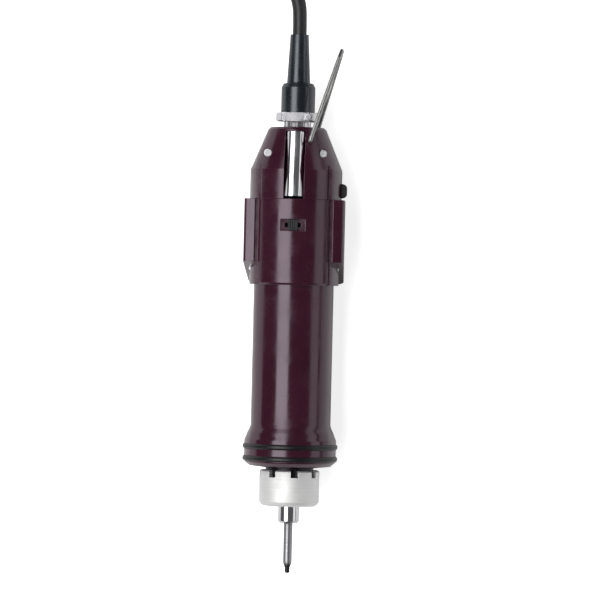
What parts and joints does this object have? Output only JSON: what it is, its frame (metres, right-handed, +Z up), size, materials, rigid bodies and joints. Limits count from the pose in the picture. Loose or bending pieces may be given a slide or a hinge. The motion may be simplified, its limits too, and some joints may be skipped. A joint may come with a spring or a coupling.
{
  "type": "electric torque screwdriver",
  "caption": "Hand-held electric screwdriver for assembly work, with a start lever, torque nut, quick-change chuck, hanging bail and corded plug.",
  "frame": {"origin": "on the bench below the middle of the tool, which lies on its back", "axes": "+Y along the tool's axis from the bit to the cord, +Z up, out of the start lever's side, +X to the right seen from above with the bit pointing down the page"},
  "size_m": [0.0657, 0.3818, 0.0451],
  "materials": {
    "maroon_plastic": "moulded maroon housing, satin",
    "black_rubber": "soft black rubber",
    "black_plastic": "fine matt black",
    "black_anodised": "black anodised, fine turning",
    "polished_steel": "polished and plated",
    "satin_nickel": "satin nickel plate",
    "turned_steel": "turned and ground steel",
    "tool_steel": "dark hardened steel",
    "spring_steel": "oiled spring steel",
    "cast_aluminium": "machined light alloy",
    "copper": "bright copper",
    "bearing_bronze": "brass and bronze",
    "carbon": "pressed carbon",
    "magnet": "sintered ferrite",
    "board_green": "coated glass-fibre board",
    "cord_jacket": "soft black jacket",
    "tie_fabric": "woven hook and loop strap"
  },
  "bodies": {
    "housing": {"body_front": "maroon_plastic", "body_back": "maroon_plastic", "dome_front": "maroon_plastic", "dome_back": "maroon_plastic", "screws": "satin_nickel", "rubber_rings": "black_rubber", "lever_pin": "turned_steel", "direction_switch": "black_plastic", "speed_switch": "black_plastic", "start_switch": "black_plastic", "circuit_board": "board_green", "cord_collet": "satin_nickel", "clamp_flange": "polished_steel", "clamp_screw": "polished_steel", "cord_boot": "black_rubber", "nose": "black_anodised", "thrust_spider": "turned_steel", "thrust_washer": "turned_steel", "torque_spring": "spring_steel", "ring_gear": "cast_aluminium", "output_bearing": "bearing_bronze", "motor_can": "turned_steel", "magnets": "magnet", "motor_cap": "black_plastic", "brushes": "carbon", "brush_holders": "bearing_bronze", "brush_springs": "spring_steel", "motor_bearings": "bearing_bronze", "cord_tube": "cord_jacket", "cord_hank": "cord_jacket", "cord_tie": "tie_fabric", "cord_tail": "cord_jacket", "plug_boot": "black_rubber", "plug_shell": "satin_nickel", "plug_insert": "black_plastic"},
    "lever": {"start_lever": "polished_steel"},
    "plunger": {"switch_plunger": "black_plastic"},
    "direction_slide": {"direction_slide": "black_plastic"},
    "speed_knob": {"speed_knob": "black_plastic"},
    "bail": {"bail": "polished_steel"},
    "spring_seat": {"thrust_ring": "turned_steel"},
    "torque_nut": {"torque_nut": "satin_nickel"},
    "rotor": {"armature_shaft": "turned_steel", "armature_core": "tool_steel", "windings": "copper", "commutator": "copper"},
    "first_carrier": {"carrier_one": "turned_steel"},
    "output": {"spindle": "turned_steel", "clutch_disc": "turned_steel", "clutch_balls": "turned_steel", "carrier_two": "turned_steel", "driver_bit": "tool_steel", "chuck_balls": "turned_steel"},
    "chuck_sleeve": {"chuck_sleeve": "polished_steel"},
    "planet_one_1": {"planet_one_1": "turned_steel"},
    "planet_one_2": {"planet_one_2": "turned_steel"},
    "planet_one_3": {"planet_one_3": "turned_steel"},
    "planet_two_1": {"planet_two_1": "turned_steel"},
    "planet_two_2": {"planet_two_2": "turned_steel"},
    "planet_two_3": {"planet_two_3": "turned_steel"}
  },
  "joints": [
    {"name": "lever_press", "type": "hinge", "parent": "housing", "child": "lever", "pos_m": [0, 0.0753, 0.0323], "axis": [1, 0, 0], "range_deg": [0, 3.6], "stiffness_Nm_per_rad": 0.2},
    {"name": "plunger_press", "type": "slide", "parent": "housing", "child": "plunger", "axis": [0, 0, -1], "range_m": [0, 0.0013]},
    {"name": "direction_shift", "type": "slide", "parent": "housing", "child": "direction_slide", "axis": [1, 0, 0], "range_m": [-0.0018, 0.0018]},
    {"name": "speed_shift", "type": "slide", "parent": "housing", "child": "speed_knob", "axis": [0, 1, 0], "range_m": [-0.001, 0.001]},
    {"name": "bail_swing", "type": "hinge", "parent": "housing", "child": "bail", "pos_m": [0.0066, 0.0736, 0.0217], "axis": [0, 0, -1], "range_deg": [-13, 60]},
    {"name": "nut_feed", "type": "slide", "parent": "housing", "child": "spring_seat", "axis": [0, -1, 0], "range_m": [0, 0.003], "deforming": ["torque_spring"]},
    {"name": "nut_turn", "type": "hinge", "parent": "spring_seat", "child": "torque_nut", "pos_m": [0, -0.084, 0.0217], "axis": [0, 1, 0], "range_deg": [0, 1080]},
    {"name": "rotor_spin", "type": "hinge", "parent": "housing", "child": "rotor", "pos_m": [0, -0.009, 0.0217], "axis": [0, 1, 0], "continuous": true},
    {"name": "first_carrier_spin", "type": "hinge", "parent": "housing", "child": "first_carrier", "pos_m": [0, -0.045, 0.0217], "axis": [0, 1, 0], "continuous": true},
    {"name": "output_spin", "type": "hinge", "parent": "housing", "child": "output", "pos_m": [0, -0.078, 0.0217], "axis": [0, 1, 0], "continuous": true},
    {"name": "sleeve_pull", "type": "slide", "parent": "output", "child": "chuck_sleeve", "axis": [0, 1, 0], "range_m": [0, 0.003], "stiffness_N_per_m": 60},
    {"name": "planet_one_1_spin", "type": "hinge", "parent": "first_carrier", "child": "planet_one_1", "pos_m": [0.0084, -0.0393, 0.0217], "axis": [0, 1, 0], "continuous": true},
    {"name": "planet_one_2_spin", "type": "hinge", "parent": "first_carrier", "child": "planet_one_2", "pos_m": [-0.0042, -0.0393, 0.02897], "axis": [0, 1, 0], "continuous": true},
    {"name": "planet_one_3_spin", "type": "hinge", "parent": "first_carrier", "child": "planet_one_3", "pos_m": [-0.0042, -0.0393, 0.01443], "axis": [0, 1, 0], "continuous": true},
    {"name": "planet_two_1_spin", "type": "hinge", "parent": "output", "child": "planet_two_1", "pos_m": [0.0084, -0.0509, 0.0217], "axis": [0, 1, 0], "continuous": true},
    {"name": "planet_two_2_spin", "type": "hinge", "parent": "output", "child": "planet_two_2", "pos_m": [-0.0042, -0.0509, 0.02897], "axis": [0, 1, 0], "continuous": true},
    {"name": "planet_two_3_spin", "type": "hinge", "parent": "output", "child": "planet_two_3", "pos_m": [-0.0042, -0.0509, 0.01443], "axis": [0, 1, 0], "continuous": true}
  ],
  "couplings": [
    {"joint": "plunger_press", "follows": "lever_press", "m_per_rad": 0.0205},
    {"joint": "nut_feed", "follows": "nut_turn", "m_per_rad": 0.00015915},
    {"joint": "first_carrier_spin", "follows": "rotor_spin", "ratio": 0.25},
    {"joint": "output_spin", "follows": "rotor_spin", "ratio": 0.0625},
    {"joint": "planet_one_1_spin", "follows": "rotor_spin", "ratio": -0.75},
    {"joint": "planet_one_2_spin", "follows": "rotor_spin", "ratio": -0.75},
    {"joint": "planet_one_3_spin", "follows": "rotor_spin", "ratio": -0.75},
    {"joint": "planet_two_1_spin", "follows": "rotor_spin", "ratio": -0.1875},
    {"joint": "planet_two_2_spin", "follows": "rotor_spin", "ratio": -0.1875},
    {"joint": "planet_two_3_spin", "follows": "rotor_spin", "ratio": -0.1875}
  ]
}
